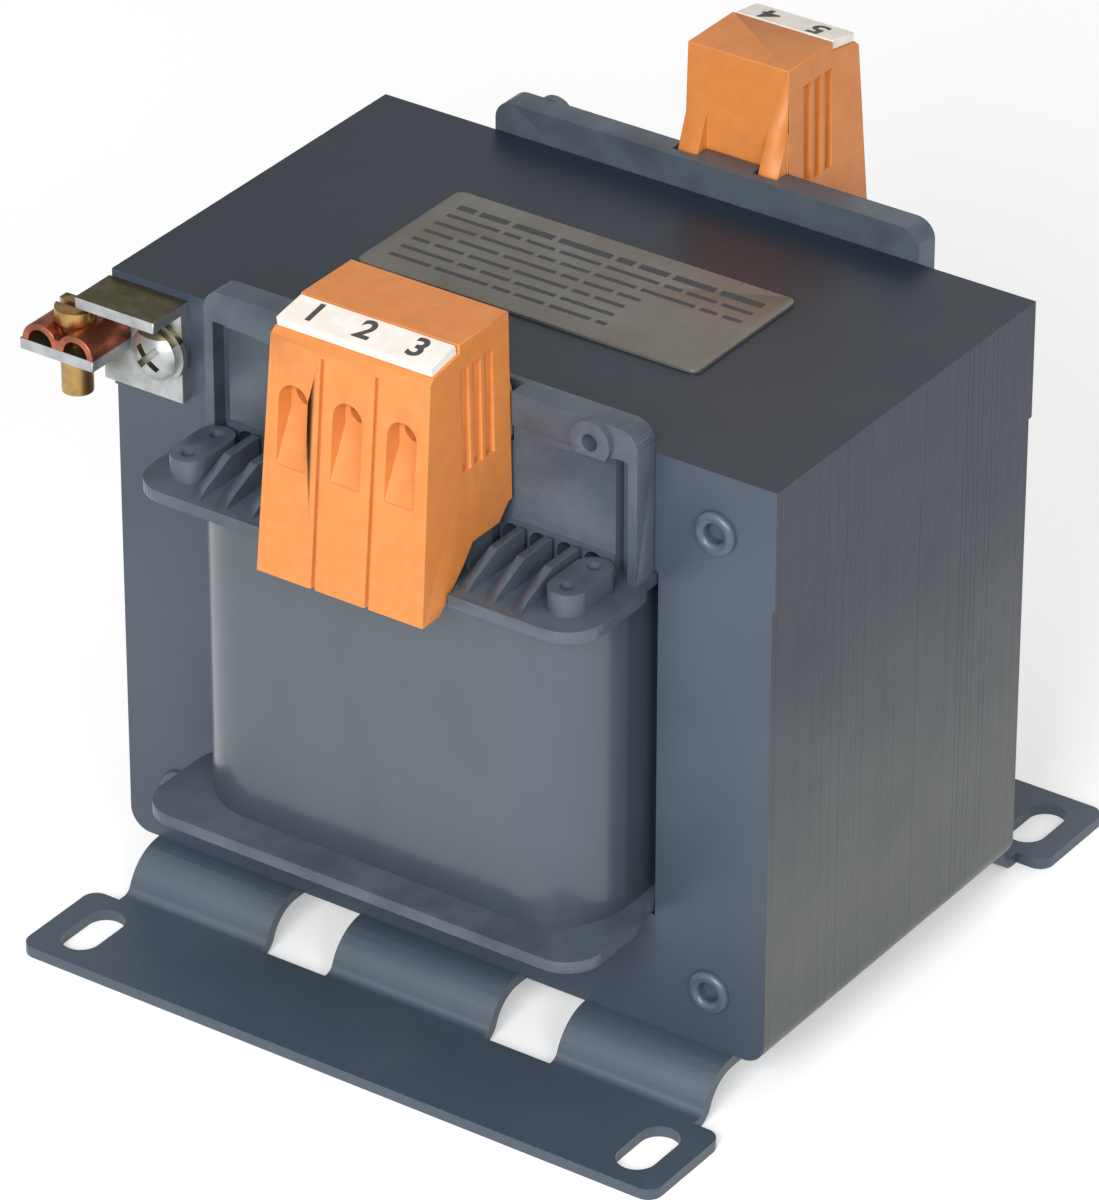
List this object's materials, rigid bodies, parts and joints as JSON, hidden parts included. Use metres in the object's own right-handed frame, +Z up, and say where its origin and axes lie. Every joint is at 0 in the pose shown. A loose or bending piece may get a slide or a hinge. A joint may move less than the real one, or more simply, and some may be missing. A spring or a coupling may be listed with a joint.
{
  "type": "laminated chassis transformer",
  "caption": "Laminated EI-core chassis transformer: taped coil on a moulded bobbin, push-in terminal blocks, side earth clamp and slotted sheet-steel feet.",
  "frame": {"origin": "in the mounting plane under the feet, at the middle of the lamination stack and of the four mounting slots", "axes": "+X to the right across the laminations when facing the coil's wider terminal block, +Y back along the stack, +Z up from the mounting plane; the earth clamp is at -X, -Y"},
  "size_m": [0.104, 0.1042, 0.1045],
  "materials": {
    "varnished_core": "blue-grey impregnating varnish, semi-gloss, a little uneven",
    "varnished_sheet": "dark blue-grey varnish over sheet steel, semi-gloss",
    "varnished_bobbin": "moulded plastic under the same blue-grey varnish",
    "coil_tape": "varnished insulating tape, semi-gloss",
    "copper_wire": "enamelled copper winding wire",
    "insulation_film": "layer insulation, matt",
    "terminal_plastic": "orange moulded polyamide, satin",
    "marker_white": "white marker strip",
    "contact_brass": "tinned brass contact bar and solder pin",
    "spring_steel": "bright spring steel",
    "zinc_steel": "zinc-plated steel with a yellowish passivated shelf",
    "clamp_copper": "bare copper, slightly tarnished",
    "screw_brass": "brass, slightly tarnished",
    "plate_foil": "satin foil rating plate"
  },
  "bodies": {
    "root": {"e_lamination_stack": "varnished_core", "i_lamination_stack": "varnished_core", "core_rivets": "varnished_sheet", "front_foot": "varnished_sheet", "rear_foot": "varnished_sheet", "bobbin": "varnished_bobbin", "primary_winding": "copper_wire", "interwinding_insulation": "insulation_film", "secondary_winding": "copper_wire", "coil_tape_wrap": "coil_tape", "front_lead_wires": "copper_wire", "rear_lead_wires": "copper_wire", "front_terminal_housing": "terminal_plastic", "front_terminal_contacts": "contact_brass", "front_terminal_springs": "spring_steel", "front_marker_strip": "marker_white", "rear_terminal_housing": "terminal_plastic", "rear_terminal_contacts": "contact_brass", "rear_terminal_springs": "spring_steel", "rear_marker_strip": "marker_white", "earth_bracket": "zinc_steel", "earth_bolt": "zinc_steel", "earth_bolt_washer": "zinc_steel", "earth_bolt_nut": "zinc_steel", "earth_saddle_clamp": "clamp_copper", "earth_clamp_screw": "screw_brass", "rating_plate": "plate_foil"}
  },
  "joints": []
}
